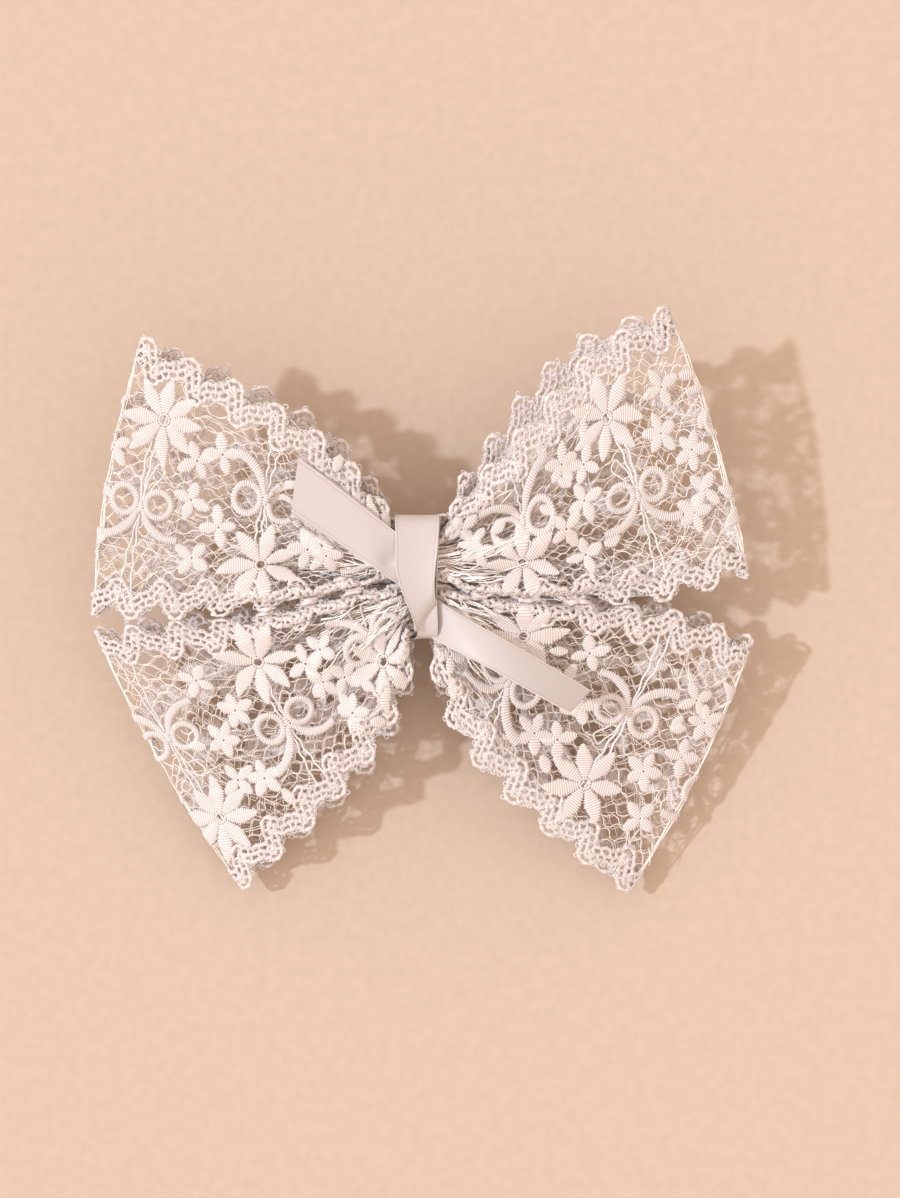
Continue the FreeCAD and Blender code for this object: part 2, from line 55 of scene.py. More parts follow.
# The lace, in millimetres
BAND_WIDTH = 62.0
WING_LENGTH = 75.0
PATTERN_STEP = 28.0
STITCH_PITCH = 0.52
CORD_PITCH = 0.6
CORD_LEVEL = 0.1
NET_SPACING = 1.8
NET_RADIUS = 0.08
BORDER_STEP = 10.3
BORDER_SWING = 2.9
BORDER_INSET = 4.5
EYELET_PITCH = 1.8
BRAID_HALF = 1.5
EDGE_KEPT = 9.0
LOOSE_BUNDLES = 60
GATHER_THREADS = 90
FOLD_THREADS = 5

# Colours, as dark and light shades. They and the tints of the light were tuned together, so
# none of them is a measured value.
LACE_DARK, LACE_LIGHT = (0.69, 0.632, 0.61), (0.735, 0.688, 0.678)
NET_DARK, NET_LIGHT = (0.94, 0.825, 0.76), (0.96, 0.875, 0.825)
# The groove colour is painted shade. It is mixed into the thread's colour in the grooves between satin
# stitches and between a braid's knots, where shade falls.
PAINTED_GROOVE_SHADE = (0.59, 0.41, 0.345)
SATIN_DARK, SATIN_LIGHT = (0.57, 0.492, 0.468), (0.60, 0.523, 0.494)
SELVEDGE = (0.50, 0.385, 0.32)
FLOOR_DARK, FLOOR_LIGHT = (0.515, 0.382, 0.291), (0.541, 0.403, 0.309)
WORLD_TINT, WORLD_STRENGTH = (1.0, 0.88, 0.79), 1.25
SUN_TINT, SUN_ENERGY = (0.84, 1.0, 1.16), 1.9

# The ribbon, in millimetres
RIBBON_WIDTH = 10.0
RIBBON_THICK = 0.22

# The flat lengths of the ribbon's pieces, in metres. The turn's is a rough figure, and
# the others are near the longer edge of each piece. The pieces are drawn 4 to 12 mm wide.
TURN_LENGTH = 0.072
FRONT_LENGTH = 0.036
LEFT_TAIL_LENGTH = 0.033
RIGHT_TAIL_LENGTH = 0.042

# The camera, in metres: how far it stands above the knot, an assumed distance, and how much of
# the scene its frame takes in from top to bottom at the knot.
CAMERA_DISTANCE = 0.6
FRAME_HEIGHT = 0.2576
SENSOR = 36

KNOT_LOW, KNOT_HIGH = (np.array(corner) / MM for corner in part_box("ribbon_wrap"))
KNOT = (KNOT_LOW + KNOT_HIGH) / 2

# The ribbon's turn is closed. Each point is its y from the knot, its z, and the x of its left
# and right edges.
TURN_LOOP = [
    (0.0, 26.4, -3.6, 4.2),
    (-5.0, 26.4, -1.6, 4.1),
    (-9.6, 26.0, -0.2, 4.3),
    (-12.6, 23.8, -0.3, 4.3),
    (-13.0, 19.6, -1.8, 4.6),
    (-10.4, 16.3, -4.4, 5.0),
    (-5.0, 13.9, -5.0, 5.0),
    (0.0, 13.5, -5.0, 5.0),
    (5.0, 13.9, -5.0, 5.0),
    (10.4, 16.3, -5.0, 5.0),
    (13.0, 19.6, -5.0, 5.0),
    (12.6, 23.8, -4.9, 4.9),
    (9.6, 26.0, -4.6, 4.6),
    (5.0, 26.4, -4.4, 4.4),
]
# The other pieces, as (x, y from the knot, z) along their two edges. The front lies over the
# turn and folds under at its lower end.
FRONT_LEFT = [
    (-4.9, 13.6, 19.0), (-4.9, 13.6, 24.0), (-4.9, 12.0, 27.2), (-4.8, 7.4, 28.9),
    (-4.7, 1.6, 29.3), (-3.5, -2.8, 29.2), (-1.9, -6.6, 28.7), (-1.1, -8.9, 28.1), (-0.6, -10.6, 27.2),
    (-0.4, -11.4, 26.2), (0.2, -11.2, 24.8),
]
FRONT_RIGHT = [
    (4.6, 13.6, 19.0), (4.6, 13.6, 24.0), (4.6, 12.2, 27.2), (4.4, 8.2, 28.8),
    (4.1, 4.8, 29.2), (3.7, 1.2, 29.3), (3.5, -2.0, 29.0), (3.6, -3.5, 28.5), (3.8, -4.6, 27.6),
    (4.0, -5.2, 26.6), (4.0, -5.4, 25.2),
]
LEFT_TAIL_UPPER = [
    (1.5, 5.2, 27.2), (-4.3, 9.6, 28.2), (-12.0, 15.6, 29.5), (-19.0, 21.0, 30.4), (-25.4, 25.7, 30.9),
]
LEFT_TAIL_LOWER = [
    (0.5, -4.3, 26.9), (-5.4, -0.6, 27.3), (-12.5, 4.3, 27.0), (-20.0, 9.4, 26.8), (-27.2, 14.2, 26.6),
]
RIGHT_TAIL_UPPER = [
    (1.8, -2.8, 24.6), (4.2, -4.6, 25.2), (9.5, -8.0, 26.4), (18.0, -12.8, 27.0), (27.5, -18.3, 25.9),
    (37.4, -24.3, 24.8),
]
RIGHT_TAIL_LOWER = [
    (1.8, -12.0, 22.2), (4.6, -13.9, 23.6), (9.5, -16.4, 26.1), (16.5, -20.0, 29.2), (24.0, -24.2, 30.7),
    (32.4, -28.8, 31.3),
]

# Each wing: its middle plane (yaw, climb and roll, and the throat), its inner and outer borders
# from the knot to the fold, the most of a tight row that the inner border takes, how far that
# border is raised beside the knot, how far the back layer stands out beyond the front at each
# border, and where its first flower lies along the band.
WINGS = {
    "upper_left": {
        "turn": (164.2, 2.5, -9.5),
        "throat": (-6.8, 6.0, 21.2),
        "inner": [(0, 0.9), (-5, 0.4), (-15, -2.3), (-35, -6.5), (-55, -8.4), (-71, -8.4)],
        "outer": [(0, 10.8), (-5, 11.6), (-8.5, 19), (-20, 31.5), (-38, 42.5), (-58.7, 52.2)],
        "inner_share": 0.27,
        "raised": 0.0,
        "peek": (-1.5, 1.0),
        "first": 65.0,
    },
    "upper_right": {
        "turn": (22.0, 2.5, 9.5),
        "throat": (7.4, 6.2, 21.2),
        "inner": [(0, 0.9), (5, 0.4), (12, -2.6), (30, -4.4), (52, -4.4), (71.8, 0.2)],
        "outer": [(0, 10.8), (4.8, 12.2), (9.5, 19.5), (17, 27.5), (26, 38), (37, 49.5), (52.9, 58.7)],
        "inner_share": 0.48,
        "raised": 2.4,
        "peek": (-2.0, 4.5),
        "first": 52.5,
    },
    "lower_left": {
        "turn": (213.2, -9.5, -7.0),
        "throat": (-8.5, -7.6, 19.6),
        "inner": [(0, -0.9), (-5, -0.8), (-18, -3.0), (-38, -7.5), (-56, -9.0), (-71, -11.0)],
        "outer": [
            (0, -11.2), (-2, -12.5), (-1.2, -20), (-4, -29), (-10.5, -40), (-22, -53),
            (-38.8, -69.5),
        ],
        "inner_share": 0.27,
        "raised": 0.0,
        "peek": (1.0, 2.0),
        "first": 69.0,
    },
    "lower_right": {
        "turn": (-32.6, -9.5, 7.0),
        "throat": (8.5, -7.8, 19.6),
        "inner": [(0, -0.9), (5, -0.8), (20, -3.0), (40, -4.5), (58, -7.0), (73.5, -13.0)],
        "outer": [
            (0, -11.2), (3.2, -12.5), (2.8, -20), (5.8, -30), (13.5, -42), (29, -56.8),
            (46.6, -70.3),
        ],
        "inner_share": 0.27,
        "raised": 0.0,
        "peek": (1.5, -1.5),
        "first": 53.0,
    },
}


# ---------------------------------------------------------------- meshes


class Threads:
    """Collects tubes, then makes them one mesh."""

    def __init__(self):
        self.points = []
        self.faces = []
        self.unshaded_shares = []
        self.count = 0

    def add(
        self, centres, sideways, heights, sides, closed=False, low=1.0, tone=1.0, square=1.0
    ):
        """A tube of elliptic section round a line, flat in u and v and h up. sideways and
        heights are half widths at each point, low scales the half below the line, the
        argument after it is 1 on a stitch and 0 in the groove beside it, where shade is painted
        into the colour, and a square below 1 flattens the section."""
        centres = np.asarray(centres, float)
        n = len(centres)
        ahead = np.roll(centres, -1, 0) - np.roll(centres, 1, 0)
        if not closed:
            ahead[0] = centres[1] - centres[0]
            ahead[-1] = centres[-1] - centres[-2]
        across = np.stack([-ahead[:, 1], ahead[:, 0]], 1)
        across /= np.linalg.norm(across, axis=1)[:, None] + 1e-12
        angle = np.arange(sides) * 2 * math.pi / sides
        cos, sin = (np.sign(x) * np.abs(x) ** square for x in (np.cos(angle), np.sin(angle)))
        sin = np.where(sin < 0, sin * low, sin)
        sideways = np.broadcast_to(np.asarray(sideways, float), n)
        heights = np.broadcast_to(np.asarray(heights, float), n)
        ring = np.empty((n, sides, 3))
        ring[:, :, :2] = (
            centres[:, None, :2]
            + across[:, None, :] * (sideways[:, None] * cos[None])[:, :, None]
        )
        ring[:, :, 2] = centres[:, None, 2] + heights[:, None] * sin[None]
        self.points.append(ring.reshape(-1, 3))
        self.unshaded_shares.append(np.repeat(np.broadcast_to(np.asarray(tone, float), n), sides))
        rows = np.arange(n if closed else n - 1)
        i = rows[:, None] * sides + np.arange(sides)[None]
        j = rows[:, None] * sides + (np.arange(sides)[None] + 1) % sides
        after = ((rows + 1) % n - rows)[:, None] * sides
        quads = np.stack([i, j, j + after, i + after], -1).reshape(-1, 4) + self.count
        self.faces.extend(quads.tolist())
        if not closed:
            first = self.count + np.arange(sides)
            self.faces.append(first[::-1].tolist())
            self.faces.append((first + (n - 1) * sides).tolist())
        self.count += n * sides

    def regather(self, first, spot, wing):
        """Moves the tubes from the first on in v, so that they keep their real width."""
        for points in self.points[first:]:
            points[:, 1] = wing.real_width(spot, points[:, 1])

    def flat(self):
        return np.concatenate(self.points)

    def mesh(self, name, points):
        """The tubes as one object, with their own points carried to new places."""
        obj = make_mesh(name, points, self.faces)
        # This point attribute says where shade is painted into the colour: 1 on a stitch, 0 in a groove.
        layer = obj.data.attributes.new("tone", "FLOAT", "POINT")
        layer.data.foreach_set("value", np.concatenate(self.unshaded_shares))
        return obj


def make_mesh(name, points, faces):
    """A mesh object from points in millimetres."""
    mesh = bpy.data.meshes.new(name)
    mesh.from_pydata((np.asarray(points) * MM).tolist(), [], faces)
    mesh.polygons.foreach_set("use_smooth", np.full(len(mesh.polygons), True))
    mesh.update()
    obj = bpy.data.objects.new(name, mesh)
    bpy.context.collection.objects.link(obj)
    return obj


def spline(points, count):
    """A smooth line through a few points, evenly spaced along its length."""
    p = np.asarray(points, float)
    p = np.vstack([2 * p[0] - p[1], p, 2 * p[-1] - p[-2]])
    return evenly(np.vstack([curve(p), p[-2:-1]]), count)


def curve(p):
    """A smooth line through all the points of p but its first and last, which only steer it."""
    t = np.linspace(0, 1, 24, endpoint=False)[:, None]
    out = []
    for a, b, c, d in zip(p, p[1:], p[2:], p[3:]):
        out.append(
            0.5
            * (
                2 * b
                + (c - a) * t
                + (2 * a - 5 * b + 4 * c - d) * t**2
                + (3 * b - a - 3 * c + d) * t**3
            )
        )
    return np.vstack(out)


def evenly(line, count):
    """The same line with points evenly spaced along it."""
    gone = np.r_[0, np.cumsum(np.linalg.norm(np.diff(line, axis=0), axis=1))]
    want = np.linspace(0, gone[-1], count)
    return np.stack([np.interp(want, gone, line[:, k]) for k in range(line.shape[1])], 1)


# ---------------------------------------------------------------- the wing's surface


def turned(yaw, climb, roll):
    """The axes of a frame turned by yaw about Z, then climbing, then rolled."""
    a, b, c = (math.radians(x) for x in (yaw, -climb, roll))
    about_z = np.array([[math.cos(a), -math.sin(a), 0], [math.sin(a), math.cos(a), 0], [0, 0, 1]])
    about_y = np.array([[math.cos(b), 0, math.sin(b)], [0, 1, 0], [-math.sin(b), 0, math.cos(b)]])
    about_x = np.array([[1, 0, 0], [0, math.cos(c), -math.sin(c)], [0, math.sin(c), math.cos(c)]])
    return about_z @ about_y @ about_x


def rounded_wave(x):
    """A triangle wave with rounded tips, of height 1 and period 1."""
    return np.arcsin(0.96 * np.sin(2 * math.pi * x)) / math.asin(0.96)


def zones(long, inner_share):
    """Where the band's borders and middle come in a row that is long millimetres. In a tight
    row the inner border takes at most inner_share of it."""
    inner, outer = min(EDGE_KEPT, inner_share * long), min(EDGE_KEPT, 0.27 * long)
    return [0, EDGE_KEPT, BAND_WIDTH - EDGE_KEPT, BAND_WIDTH], [0, inner, long - outer, long]


class Wing:
    """The folded surface of one wing: u runs from the knot out along the front layer to the
    fold and back along the back layer, v from the inner border to the outer one."""

    ROWS = 281
    COLUMNS = 125

    def __init__(self, spec):
        self.inner_share = spec["inner_share"]
        self.raised = spec["raised"]
        self.axes = turned(*spec["turn"])
        self.throat = np.array(spec["throat"]) + [KNOT[0], KNOT[1], 0]
        half = self.ROWS // 2 + 1
        inner, outer = (spline(spec[key], half) for key in ("inner", "outer"))
        self.grids = []
        for calm in (False, True):
            front = self.layer(inner, outer, (0.0, 0.0), 1, calm)
            back = self.layer(inner, outer, spec["peek"], -1, calm)
            grid = self.evened(np.concatenate([front, back[-2::-1]]))
            self.grids.append((grid, self.surface_normals(grid)))

    def layer(self, inner, outer, peek, side, calm):
        """The front (side 1) or back (side -1) layer, as rows from the knot to the fold. The
        calm surface runs along the crests of the fine pleats, where the stiff flowers lie."""
        s = np.linspace(0, 1, len(inner))[:, None]
        t = np.linspace(0, 1, self.COLUMNS)[None]
        swell = np.sin(math.pi * s[:, 0]) ** 1.5
        chord = outer - inner
        across = chord / np.linalg.norm(chord, axis=1)[:, None]
        near = inner - across * (swell * peek[0])[:, None]
        far = outer + across * (swell * peek[1])[:, None]
        share = (t ** (1 + 0.35 * np.sin(math.pi * s)))[..., None]
        plan = near[:, None] * (1 - share) + far[:, None] * share
        outward = self.axes[:2, 0] / np.linalg.norm(self.axes[:2, 0])
        bulge = 2.2 * s**4 * 4 * t * (1 - t)
        plan = plan + bulge[..., None] * outward + [KNOT[0], KNOT[1]]
        normal = self.axes[:, 2]
        rise = -((plan - self.throat[:2]) @ normal[:2]) / normal[2]
        middle = np.concatenate([plan, (self.throat[2] + rise)[..., None]], -1)
        lift = self.lift(s, t, side, calm)
        return middle + lift[..., None] * normal

    def lift(self, s, t, side, calm):
        """How far a layer stands off the middle plane: a belly, and pleats from the knot."""
        belly = 1.9 + 2.2 * np.sin(math.pi * np.clip(s, 0, 1) ** 0.8) ** 0.9
        belly = belly * (1 - s**8) ** 0.5
        raised = self.raised * np.exp(-((t / 0.3) ** 2)) * np.exp(-(((s - 0.16) / 0.2) ** 2))
        shift = 0.37 if side < 0 else 0.0
        bunched = t**0.72 + 0.03 * np.sin(5 * s + 3 * t)
        fine = rounded_wave(8.5 * bunched + shift + 0.12 * np.sin(7 * s))
        broad = rounded_wave(3.4 * bunched + 0.2 + shift + 0.10 * np.sin(4 * s + 1))
        fine_height = (1.7 * np.exp(-((s / 0.42) ** 2)) + 0.4 * (1 - s) * s) * (1.25 - 0.5 * t)
        flatter = 1 - 0.7 * np.exp(-((t / 0.17) ** 2)) - 0.5 * np.exp(-(((1 - t) / 0.12) ** 2))
        fine_height = fine_height * flatter
        broad_height = 2.3 * np.sin(math.pi * np.clip(s * 0.9 + 0.06, 0, 1)) * (1 - 0.75 * s)
        broad_height = broad_height * (1.35 - 0.8 * t) * (1 - 0.65 * np.exp(-((t / 0.2) ** 2)))
        if calm:
            pleats = 0.75 * side * fine_height + 0.75 * broad_height * broad
        else:
            pleats = fine_height * fine + broad_height * broad
        return side * belly + raised + pleats * (1 - s**4)

    def evened(self, grid):
        """Spaces the points evenly along each column, and along each row so that both borders
        keep their width and the gathers take up the middle."""
        grid = np.stack([evenly(grid[:, j], self.ROWS) for j in range(grid.shape[1])], 1)
        return np.stack([self.gathered(row) for row in grid])

    def gathered(self, row):
        """One row from border to border, with its points where the band's v puts them."""
        gone = np.r_[0, np.cumsum(np.linalg.norm(np.diff(row, axis=0), axis=1))]
        v = np.linspace(0, BAND_WIDTH, self.COLUMNS)
        want = np.interp(v, *zones(gone[-1], self.inner_share))
        return np.stack([np.interp(want, gone, row[:, k]) for k in range(3)], 1)

    def surface_normals(self, grid):
        along = np.gradient(grid, axis=0)
        across = np.gradient(grid, axis=1)
        normals = np.cross(along, across)
        normals /= np.linalg.norm(normals, axis=2)[..., None] + 1e-12
        front = normals[self.ROWS // 4, self.COLUMNS // 2]
        return normals if front @ self.axes[:, 2] > 0 else -normals

    def real_width(self, spot, v):
        """The v for points of a flower at spot, so that the gathers don't narrow it."""
        row = self.grids[True][0][int(np.clip(spot[0] / (2 * WING_LENGTH), 0, 1) * (self.ROWS - 1))]
        long = np.linalg.norm(np.diff(row, axis=0), axis=1).sum()
        known, real = zones(long, self.inner_share)
        middle = np.clip(np.interp(spot[1], known, real), 0.25 * long, 0.75 * long)
        want = middle + (v - spot[1]) * min(1.0, long / 30)
        return np.interp(np.clip(want, 1.0, long - 1.0), real, known)

    def place(self, flat, calm=False):
        """Carries points (u, v, h) onto the surface."""
        grid, normals = self.grids[calm]
        reach = 2 * WING_LENGTH
        u = np.clip(flat[:, 0], 0, reach) / reach * (self.ROWS - 1)
        v = np.clip(flat[:, 1], 0, BAND_WIDTH) / BAND_WIDTH * (self.COLUMNS - 1)
        i = np.minimum(u.astype(int), self.ROWS - 2)
        j = np.minimum(v.astype(int), self.COLUMNS - 2)
        a, b = (u - i)[:, None], (v - j)[:, None]

        def blend(values):
            low = values[i, j] * (1 - b) + values[i, j + 1] * b
            high = values[i + 1, j] * (1 - b) + values[i + 1, j + 1] * b
            return low * (1 - a) + high * a

        spot = blend(grid) + blend(normals) * flat[:, 2:3]
        beyond_v = flat[:, 1] - np.clip(flat[:, 1], 0, BAND_WIDTH)
        edge = blend(np.gradient(grid, BAND_WIDTH / (self.COLUMNS - 1), axis=1))
        return spot + edge * beyond_v[:, None]


# ---------------------------------------------------------------- the flat lace


def satin_bar(out, line, half_width, height, sides=10, closed=False, square=0.68):
    """A bar of satin stitches along a line: one ridge for each stitch across it."""
    line = np.asarray(line, float)
    if closed:
        line = np.vstack([line, line[:1]])
    long = np.linalg.norm(np.diff(line, axis=0), axis=1).sum()
    stitches = max(4, round(long / STITCH_PITCH))
    line = evenly(line, 3 * stitches + (1 if closed else 0))
    if closed:
        line = line[:-1]
    n = len(line)
    where = np.linspace(0, 1, n)
    # groove is 1 on a stitch and 0 in the groove between stitches. In the groove the bar is narrower and
    # lower, and shade is painted into its colour.
    groove = np.where(np.arange(n) % 3, 1.0, 0.0)
    wide = half_width(where) if callable(half_width) else np.full(n, half_width)
    crown = np.minimum(1.0, wide / wide.max() + 0.35) * height
    uneven = 1 + 0.06 * np.sin(2.3 * (np.arange(n) // 3) + long)
    wide, crown = wide * uneven * (0.82 + 0.18 * groove), crown * (0.55 + 0.45 * groove)
    out.add(line, wide, crown, sides, closed, 0.45, groove, square)


def petal_shape(wide, blunt):
    """The half width along a petal: narrow at the eye, widest past the middle, then a point
    or, where blunt, a round end."""

    def shape(where):
        rise = 0.34 + 0.66 * np.clip(where / 0.45, 0, 1) ** 0.75
        fall = np.clip((1 - where) / 0.5, 0, 1) ** (0.45 if blunt else 0.7)
        return 0.5 * wide * np.minimum(rise, 0.12 + 0.88 * fall)

    return shape


def petal(out, centre, angle, start, long, wide, height, bend=0.0, blunt=False):
    """One leaf shaped petal, pointing away from its flower's eye."""
    t = np.linspace(0, 1, 9)
    away = start + long * t
    turn = angle + bend * t**2
    line = np.stack(
        [centre[0] + away * np.cos(turn), centre[1] + away * np.sin(turn), 0.25 + 0 * t], 1
    )
    satin_bar(out, line, petal_shape(wide, blunt), height)


def ring(out, centre, radius, half_width, height, stretch=1.0, turn=0.0):
    """A ring of satin stitches."""
    a = np.linspace(0, 2 * math.pi, 40, endpoint=False)
    x, y = radius * stretch * np.cos(a), radius * np.sin(a)
    line = np.stack(
        [
            centre[0] + x * math.cos(turn) - y * math.sin(turn),
            centre[1] + x * math.sin(turn) + y * math.cos(turn),
            np.full_like(a, 0.2),
        ],
        1,
    )
    satin_bar(out, line, half_width, height, 7, closed=True, square=0.85)


def cord(out, points, radius):
    """A thin twisted stem through a few points."""
    line = spline(points, 60)
    long = np.linalg.norm(np.diff(line, axis=0), axis=1).sum()
    line = evenly(line, max(4, int(2 * long / CORD_PITCH)))
    sway = 0.22 * np.sin(np.linspace(0, 1.1 * long, len(line)) + points[0][0])
    line[:, 0] += sway * np.sin(np.linspace(0, math.pi, len(line)))
    line = np.hstack([line, np.full((len(line), 1), CORD_LEVEL)])
    bumps = radius * np.where(np.arange(len(line)) % 2, 1.1, 0.86)
    out.add(line, bumps, bumps, 5)


def big_flower(out, u, v, rng):
    """Seven or eight long pointed petals round a small eyelet."""
    count = 7 + int(rng.random() < 0.4)
    first = math.pi / 2 + rng.uniform(-0.25, 0.25)
    for k in range(count):
        angle = first + k * 2 * math.pi / count + rng.uniform(-0.06, 0.06)
        long = 7.9 + rng.uniform(-1.0, 0.9)
        wide = rng.uniform(3.8, 4.4)
        petal(out, (u, v), angle, 1.5, long, wide, 0.40, rng.uniform(-0.15, 0.15))
    ring(out, (u, v), 1.2, 0.36, 0.45)


def small_flower(out, u, v, rng):
    """Four or five short round petals, and often one or two more beyond them in a chain."""
    first = rng.uniform(0, math.pi)
    count = 4 + int(rng.random() < 0.35)
    for k in range(count):
        angle = first + k * 2 * math.pi / count + rng.uniform(-0.15, 0.15)
        long = 4.2 + rng.uniform(-0.5, 0.5)
        petal(out, (u, v), angle, 0.2, long, rng.uniform(2.7, 3.3), 0.44, 0.0, True)
    if rng.random() < 0.6:
        angle = first + rng.uniform(-0.5, 0.5)
        bud = (u + 4.6 * math.cos(angle), v + 4.6 * math.sin(angle))
        petal(out, bud, angle + rng.uniform(-0.5, 0.5), 0.2, 4.0, 2.8, 0.48, 0.0, True)


def bow_motif(out, u, v, up):
    """A small embroidered bow: two rings, two curved tails and long stems."""
    for side in (-1, 1):
        ring(out, (u + side * 4.2, v + up * 0.9), 2.9, 0.80, 0.58, 1.06, side * 0.2)
        tail = [
            (u + side * 0.4, v - up * 0.6),
            (u + side * 2.6, v - up * 4.2),
            (u + side * 6.0, v - up * 6.4),
            (u + side * 9.4, v - up * 6.9),
        ]
        line = spline(tail, 30)
        line = np.hstack([line, np.full((30, 1), 0.2)])
        satin_bar(out, line, lambda w: 0.45 + 0.65 * np.sin(math.pi * np.clip(w, 0, 0.7)) ** 0.8, 0.62)
    petal(out, (u, v), up * math.pi / 2, -1.3, 2.6, 1.6, 0.6, 0.0, True)


def stems(out, u, v, up, flower, border, rng):
    """Thin cords from the bow's knot up to the flower and down to the border."""
    for side in (-1, 1):
        cord(
            out,
            [
                (u + side * 0.3, v + up * 0.8),
                (u + side * 0.7, (v + flower[1]) / 2),
                (flower[0] + side * 0.5, flower[1] - up * 1.6),
            ],
            0.27,
        )
    cord(
        out,
        [
            (u - 0.2, v + up * 1.0),
            (u - 3.6, v + up * 7.0),
            (u - 4.4, v + up * 9.5),
            (u - 2.6, v + up * 10.5),
            (u - 1.2, v + up * 7.0),
            (u, v + up * 1.2),
        ],
        0.2,
    )
    for reach in (0.6, 3.4):
        cord(
            out,
            [
                (u + 0.1, v - up * 0.8),
                (u + reach * 0.5, v - up * 0.5 * abs(v - border)),
                (u + reach + rng.uniform(-0.4, 0.4), border),
            ],
            0.24,
        )


def draw_motifs(wing, spec, rng):
    """All the embroidery of one wing: flowers that go up and down the band by turns."""
    out = Threads()
    for k in range(-2, 6):
        u = spec["first"] - PATTERN_STEP * (k - 1)
        high = (k + 1) % 2 == 0
        up = 1 if high else -1

        def across(share):
            return BAND_WIDTH * (share if high else 1 - share)

        if not -4 < u < 2 * WING_LENGTH + 4:
            continue
        flower = (u + rng.uniform(-1, 1), across(0.80))
        middle = (u + rng.uniform(-1, 1), across(0.42))
        stems(out, *middle, up, flower, across(0.09), rng)
        first = len(out.points)
        big_flower(out, *flower, rng)
        out.regather(first, flower, wing)
        first = len(out.points)
        bow_motif(out, *middle, up)
        out.regather(first, middle, wing)
        for du, share in ((12.5, 0.27), (10.0, 0.60), (16.0, 0.50), (14.5, 0.84), (-10.5, 0.66)):
            spot = (u + du + rng.uniform(-1, 1), across(share) + rng.uniform(-1, 1))
            if not 9 < spot[0] < 2 * WING_LENGTH - 9:
                continue
            first = len(out.points)
            small_flower(out, *spot, rng)
            out.regather(first, spot, wing)
    return out


def border_line(u, outer):
    """The middle of a border's scallops at u: slow out, quick back."""
    turn = u / BORDER_STEP + (0.1 if outer else 0.45)
    lean = turn + 0.13 * np.sin(2 * math.pi * turn)
    swing = BORDER_SWING * rounded_wave(lean)
    return BAND_WIDTH - BORDER_INSET + swing if outer else BORDER_INSET + swing


def draw_borders(rng):
    """Along each border, a braid of two rows of eyelets: three knotted cords joined by bars."""
    out = Threads()
    reach = 2 * WING_LENGTH
    for outer in (False, True):
        u = np.linspace(0, reach, 1401)
        line = np.stack([u, border_line(u, outer)], 1)
        gone = np.r_[0, np.cumsum(np.linalg.norm(np.diff(line, axis=0), axis=1))]
        line = evenly(line, int(gone[-1] / 0.23))
        gone = np.linspace(0, gone[-1], len(line))
        ahead = np.gradient(line, axis=0)
        ahead /= np.linalg.norm(ahead, axis=1)[:, None]
        across = np.stack([-ahead[:, 1], ahead[:, 0]], 1)
        wave = 0.16 * np.cos(2 * math.pi * gone / EYELET_PITCH)
        for side in (-1, 0, 1):
            offset = side * (BRAID_HALF + wave) + slow_noise(rng, 0.07, len(line), 3)
            knot = np.arange(len(line)) % 2
            fat = rng.uniform(0.46, 0.56, len(line)) * np.where(knot, 1.12, 0.76)
            centres = line + across * offset[:, None]
            rise = 0.15 + slow_noise(rng, 0.08, len(line), 3)
            # Between the knots the cord gets painted shade: its colour is mixed 70 percent towards the
            # groove colour.
            out.add(np.hstack([centres, rise[:, None]]), fat, fat * 1.1, 6, tone=0.3 + 0.7 * knot)
        braid_bars(out, line, across, gone, rng)
        picots(out, line, across * (1 if outer else -1), gone, rng)
    return out


def braid_bars(out, line, across, gone, rng):
    """The short bars between a braid's cords, one row half a pitch on from the other."""
    for side in (-1, 1):
        for k in range(int(gone[-1] / EYELET_PITCH)):
            where = (k + (0.5 if side < 0 else 0.0)) * EYELET_PITCH + rng.uniform(-0.15, 0.15)
            i = min(np.searchsorted(gone, where), len(line) - 1)
            step = np.linspace(0, side * BRAID_HALF, 5)[:, None]
            knot = np.array([0, 1, 0, 1, 0])
            bar = np.hstack([line[i] + across[i] * step, np.full((5, 1), 0.15)])
            fat = 0.45 * np.where(knot, 1.1, 0.78)
            # The bars too get painted shade between their knots.
            out.add(bar, fat, fat, 5, tone=0.3 + 0.7 * knot)


def picots(out, line, away, gone, rng):
    """Small loops of thread that stand out along the border's free edge."""
    pitch = 1.7
    for k in range(int(gone[-1] / pitch)):
        i = min(np.searchsorted(gone, (k + 0.5) * pitch), len(line) - 1)
        ahead = np.array([away[i][1], -away[i][0]])
        root = line[i] + away[i] * (BRAID_HALF + 0.3)
        tall = rng.uniform(0.35, 0.85)
        lean = rng.uniform(-0.25, 0.25)
        loop = [
            root - ahead * 0.55,
            root - ahead * 0.35 + away[i] * tall * 0.8 + ahead * lean,
            root + away[i] * tall + ahead * lean,
            root + ahead * 0.35 + away[i] * tall * 0.8 + ahead * lean,
            root + ahead * 0.55,
        ]
        bent = spline(loop, 8)
        bent = np.hstack([bent, np.full((8, 1), rng.uniform(0.0, 0.25))])
        out.add(bent, 0.13, 0.13, 4)


def slow_noise(rng, step, count, smooth):
    """Random values that change slowly along a thread."""
    raw = rng.normal(size=count + 4 * smooth)
    kernel = np.hanning(2 * smooth + 1)
    soft = np.convolve(raw, kernel / math.sqrt((kernel**2).sum()), "same")
    return step * soft[2 * smooth : 2 * smooth + count]


